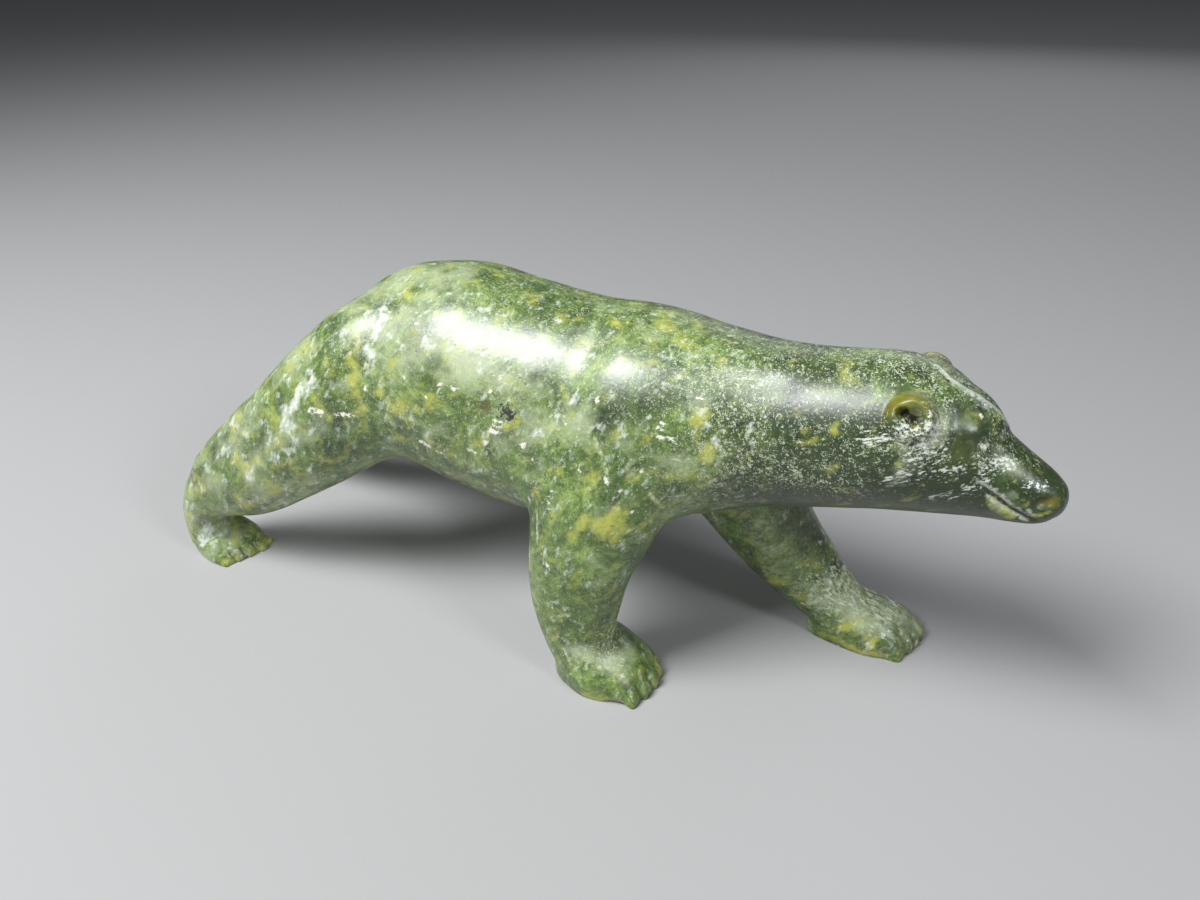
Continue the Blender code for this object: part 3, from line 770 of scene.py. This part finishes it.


# Serpentine, carved, rubbed smooth and waxed: a cloudy, slightly translucent green with dark, pale, yellow
# and milky patches and white calcite fleck, under a glossy, faintly scratched skin. Some dark patches are
# painted shade, some pale ones a painted sheen, and the golden toe edges painted light
stone = {
    "clouds": ((0.36, "#2a3b1a"), (0.43, "#415728"), (0.5, "#566c32"), (0.57, "#6f8643"), (0.66, "#97a868")),
    # Noises on millimetres: each Scale is one over a size
    "noises": {
        "cloud": {"Scale": 1 / 14, "Detail": 6, "Roughness": 0.93, "Distortion": 0.4},
        "grain": {"Scale": 1 / 0.5, "Detail": 2, "Distortion": 0.8},
        "curl": {"Scale": 1 / 1.3, "Detail": 1, "Distortion": 1.8},
        "curlGroup": {"Scale": 1 / 1.5, "Detail": 2},
        "pinholeGroup": {"Scale": 1 / 9, "Detail": 3},
        "skin": {"Scale": 1 / 0.7, "Detail": 3},
    },
    "pinholes": {"Scale": 1 / 1.6},
    "middle": 0.5,  # of any noise
    # Where each of them begins and where it is whole, and how strong it then is
    "levels": {
        "grain": {"From Min": 0.67, "From Max": 0.75, "To Max": 0.85},
        "curl": {"From Min": 0.05, "From Max": 0.018},
        "curlGroup": {"From Min": 0.62, "From Max": 0.7},
        "pinhole": {"From Min": 0.24, "From Max": 0.14, "To Max": 0.6},
        "pinholeGroup": {"From Min": 0.57, "From Max": 0.64},
        "roughness": {"To Min": 0.4, "To Max": 0.48},  # of the rubbed skin and of the fleck in it
        "wax": {"To Min": 0.05, "To Max": 0.55},  # where it is dull and where it is best polished
    },
    # Broad patches: colour, size of their torn edge in mm, how much longer its streaks are than wide,
    # degrees they rise towards the head, raggedness, start and end of the edge, strength
    "patches": {
        # dark patches of the stone, also used as painted shade on the head, throat and front
        "dusk": ("#1c2c11", 6, 1.6, 30, 2.4, 0.3, 1.1, 0.88),
        # pale hazy patches of the stone, also used as a painted sheen beside the flank's highlight and as
        # painted light on the left forepaw
        "haze": ("#b6c09c", 7, 1.6, 40, 3, 0.3, 1.2, 0.7),
        "gold": ("#aeb04a", 4, 1.6, 40, 3.6, 0.4, 1.2, 0.85),
        "olive": ("#5f6a2e", 3, 1, 0, 2.4, 0.2, 1.2, 0.5),
        "amber": ("#6b6517", 2.2, 1, 0, 2, 0.2, 0.9, 0.85),
        "rust": ("#5a3f2a", 2, 1, 0, 1.5, 0.3, 0.9, 0.7),
        "milk": ("#dbe2d6", 2.2, 1.9, 62, 3.8, 0.35, 1.15, 0.88),
        "vein": ("#cfd5a8", 1.2, 2, 40, 2, 0.35, 0.9, 0.6),
    },
    # Small marks, drawn over the fleck, given the same way
    "spots": {
        "scratch": ("#d2d6ca", 0.55, 4, 20, 5, 0.75, 1.2, 0.9),
        "scuff": ("#d8dbc0", 0.8, 3, -25, 5, 0.75, 1.3, 0.8),
        "line": ("#bac0b4", 0.8, 1, 0, 1.8, 0.25, 0.7, 0.75),
        "grit": ("#d6d7cb", 0.9, 1, 0, 3.5, 0.4, 0.9, 0.9),
        "flake": ("#e4e5d3", 1, 1.3, 30, 2.6, 0.4, 0.75, 0.9),
        "pit": ("#1c2019", 0.8, 1, 0, 3, 0.35, 0.65, 0.95),
    },
    "tornEdge": {"Detail": 6, "Roughness": 0.62},
    "leastField": 0.01,  # a mark shows nothing below this
    "fleck": "#bcc6a8",
    "density": {"grain": 0.12, "curlGroup": 0.14},  # what the densest fleck adds to these noises
    "relief": (0.6, -1.5),  # how far fleck and pinholes stand out against the skin's own noise
    "bump": {"Strength": 0.25, "Distance": 0.0002},
    "shader": {
        "IOR": 1.56, "Subsurface Weight": 0.2, "Subsurface Scale": 0.0006,
        "Subsurface Radius": (2.2, 3.0, 1.0), "Coat Roughness": 0.27, "Coat IOR": 1.5,
    },
}


def tornCover(tree, mm, name, size, longer, rise, ragged, start, end, strength):
    # A mark's field plus streaky noise, cut between two levels: cover = strength where field + swing > end
    field = addNode(tree, "Attribute", attribute_name=name).outputs["Fac"]
    turned = {"Vector": mm, "Rotation": (0, -np.radians(rise), 0), "Scale": (longer, 1, 1)}
    bed = addNode(tree, "Mapping", turned, vector_type="TEXTURE").outputs[0]
    streaks = {"Vector": bed, "Scale": 1 / size} | stone["tornEdge"]
    edge = addNode(tree, "TexNoise", streaks).outputs["Fac"]
    swing = addNode(tree, "Math", {0: edge, 1: stone["middle"]}, operation="SUBTRACT").outputs[0]
    torn = addNode(tree, "Math", {0: swing, 1: ragged, 2: field}, operation="MULTIPLY_ADD").outputs[0]
    levels = {"Value": torn, "From Min": start, "From Max": end, "To Max": strength}
    cut = addNode(tree, "MapRange", levels).outputs[0]
    present = addNode(tree, "Math", {0: field, 1: stone["leastField"]}, operation="GREATER_THAN").outputs[0]
    return addNode(tree, "Math", {0: cut, 1: present}, operation="MULTIPLY").outputs[0]


polished = bpy.data.materials.new("polishedSerpentine")
polished.use_nodes = True
tree = polished.node_tree
tree.nodes.clear()
place = addNode(tree, "TexCoord").outputs["Object"]
toMillimetres = {0: place, 1: (1 / millimetre,) * 3}
mm = addNode(tree, "VectorMath", toMillimetres, operation="MULTIPLY").outputs[0]
noise = {
    name: addNode(tree, "TexNoise", {"Vector": mm} | sockets).outputs["Fac"]
    for name, sockets in stone["noises"].items()
}
level = stone["levels"]
ramp = addNode(tree, "ValToRGB", {"Fac": noise["cloud"]})
while len(ramp.color_ramp.elements) < len(stone["clouds"]):
    ramp.color_ramp.elements.new(stone["middle"])
for element, (position, code) in zip(ramp.color_ramp.elements, stone["clouds"]):
    element.position, element.color = position, linear(code)

# Fleck: curled fibres where one noise crosses its middle and another lets them show, and small grains
density = addNode(tree, "Attribute", attribute_name="fleck").outputs["Fac"]
denser = {
    name: addNode(tree, "Math", {0: density, 1: more, 2: noise[name]}, operation="MULTIPLY_ADD").outputs[0]
    for name, more in stone["density"].items()
}
grain = addNode(tree, "MapRange", {"Value": denser["grain"]} | level["grain"]).outputs[0]
offset = addNode(tree, "Math", {0: noise["curl"], 1: stone["middle"]}, operation="SUBTRACT").outputs[0]
away = addNode(tree, "Math", {0: offset}, operation="ABSOLUTE").outputs[0]
fibre = addNode(tree, "MapRange", {"Value": away} | level["curl"]).outputs[0]
shown = addNode(tree, "MapRange", {"Value": denser["curlGroup"]} | level["curlGroup"]).outputs[0]
fibreShown = addNode(tree, "Math", {0: fibre, 1: shown}, operation="MULTIPLY").outputs[0]
both = addNode(tree, "Math", {0: grain, 1: fibreShown}, operation="MAXIMUM").outputs[0]
bright = addNode(tree, "Math", {0: density, 1: 1 / 2}, operation="POWER").outputs[0]
fleckCover = addNode(tree, "Math", {0: both, 1: bright}, operation="MULTIPLY", use_clamp=True).outputs[0]

# Pinholes left by the polish: dark dots in clusters
holes = addNode(tree, "TexVoronoi", {"Vector": mm} | stone["pinholes"]).outputs["Distance"]
hole = addNode(tree, "MapRange", {"Value": holes} | level["pinhole"]).outputs[0]
cluster = addNode(tree, "MapRange", {"Value": noise["pinholeGroup"]} | level["pinholeGroup"]).outputs[0]
pinhole = addNode(tree, "Math", {0: hole, 1: cluster}, operation="MULTIPLY").outputs[0]

covers = [(code, tornCover(tree, mm, name, *edge)) for name, (code, *edge) in stone["patches"].items()]
covers += [(stone["fleck"], fleckCover)]
covers += [(code, tornCover(tree, mm, name, *edge)) for name, (code, *edge) in stone["spots"].items()]
covers += [(stone["spots"]["pit"][0], pinhole)]
colour = ramp.outputs["Color"]
for code, cover in covers:
    # of the mixing node's sockets, 6 and 7 are its two colours, and output 2 is the mixed one
    colour = addNode(tree, "Mix", {0: cover, 6: colour, 7: linear(code)}, data_type="RGBA").outputs[2]

fleckRise, pinholeRise = stone["relief"]
terms = {0: fleckCover, 1: fleckRise, 2: noise["skin"]}
raised = addNode(tree, "Math", terms, operation="MULTIPLY_ADD").outputs[0]
terms = {0: pinhole, 1: pinholeRise, 2: raised}
height = addNode(tree, "Math", terms, operation="MULTIPLY_ADD").outputs[0]
polishing = addNode(tree, "Attribute", attribute_name="polish").outputs["Fac"]
skin = {
    "Base Color": colour,
    "Roughness": addNode(tree, "MapRange", {"Value": fleckCover} | level["roughness"]).outputs[0],
    "Normal": addNode(tree, "Bump", {"Height": height} | stone["bump"]).outputs[0],
    "Coat Weight": addNode(tree, "MapRange", {"Value": polishing} | level["wax"]).outputs[0],
}
shader = addNode(tree, "BsdfPrincipled", skin | stone["shader"])
addNode(tree, "OutputMaterial", {"Surface": shader.outputs[0]})
body.materials.append(polished)
print("stone ready")

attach(walkingBear, "root")
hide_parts("bear")

# Studio: a pale floor, a softbox high on the camera's left, a weaker one before the nose, a wide one behind
studio = {
    "floor": "#a0a09e",
    "floorHalf": 6,  # metres from the bear to the floor's edge
    "floorRoughness": 0.9,
    "world": ("#e8eef6", 0.11),  # colour and strength
    # direction from the bear, distance and width in metres, watts, colour
    "lights": {
        "key": ((-0.32, -0.5, 0.8), 1.1, 0.46, 20.5, "#fafbff"),
        "nose": ((0.775, -0.27, 0.57), 1.04, 0.2, 3.2, "#f2f6ff"),
        "behind": ((0.05, 0.8, 0.5), 1.5, 1, 3, "#fafbff"),
    },
    "camera": (0.1151, -0.1877, 0.172),  # metres from the middle of the ground under the bear
    "turn": 27,  # degrees
    "pitch": 29.2,
    "roll": 0.87,
    "lens": 27.42,  # millimetres
    "nearest": 0.01,  # metres before the lens that still show
}
half = studio["floorHalf"]
corners = [(-half, -half, 0), (half, -half, 0), (half, half, 0), (-half, half, 0)]
floorMesh = bpy.data.meshes.new("floor")
floorMesh.from_pydata(corners, [], [(0, 1, 2, 3)])
floor = bpy.data.objects.new("floor", floorMesh)
bpy.context.scene.collection.objects.link(floor)
paper = bpy.data.materials.new("palePaper")
paper.use_nodes = True
paperShader = paper.node_tree.nodes["Principled BSDF"]
paperShader.inputs["Base Color"].default_value = linear(studio["floor"])
paperShader.inputs["Roughness"].default_value = studio["floorRoughness"]
floorMesh.materials.append(paper)
floor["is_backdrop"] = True

ground = Vector(((cadLow[0] + cadHigh[0]) / 2, (cadLow[1] + cadHigh[1]) / 2, cadLow[2]))
for name, (direction, distance, width, watts, tint) in studio["lights"].items():
    light = bpy.data.lights.new(name, "AREA")
    light.shape, light.size, light.energy, light.color = "SQUARE", width, watts, linear(tint)[:3]
    lamp = bpy.data.objects.new(name, light)
    bpy.context.scene.collection.objects.link(lamp)
    toward = Vector(direction).normalized()
    lamp.location = ground + toward * distance
    lamp.rotation_euler = toward.to_track_quat("Z", "Y").to_euler()
world = bpy.data.worlds.new("studio")
world.use_nodes = True
sky = world.node_tree.nodes["Background"]
sky.inputs["Color"].default_value = linear(studio["world"][0])
sky.inputs["Strength"].default_value = studio["world"][1]
bpy.context.scene.world = world
bpy.context.scene.view_settings.view_transform = "Standard"

# Camera: turned about the upright, pitched down, then rolled about its own line of sight
turn, pitch, roll = (np.radians(studio[key]) for key in ("turn", "pitch", "roll"))
ahead = np.array((-np.sin(turn), np.cos(turn), 0))
right = np.array((np.cos(turn), np.sin(turn), 0))
down = -np.sin(pitch) * ahead - np.cos(pitch) * np.array((0, 0, 1))
rightRolled = np.cos(roll) * right + np.sin(roll) * down
downRolled = np.cos(roll) * down - np.sin(roll) * right
back = np.cross(rightRolled, -downRolled)
cameraData = bpy.data.cameras.new("camera")
cameraData.lens = studio["lens"]
cameraData.clip_start = studio["nearest"]
camera = bpy.data.objects.new("camera", cameraData)
bpy.context.scene.collection.objects.link(camera)
axes = Matrix((rightRolled, -downRolled, back)).transposed()
camera.matrix_world = Matrix.Translation(ground + Vector(studio["camera"])) @ axes.to_4x4()
bpy.context.scene.camera = camera
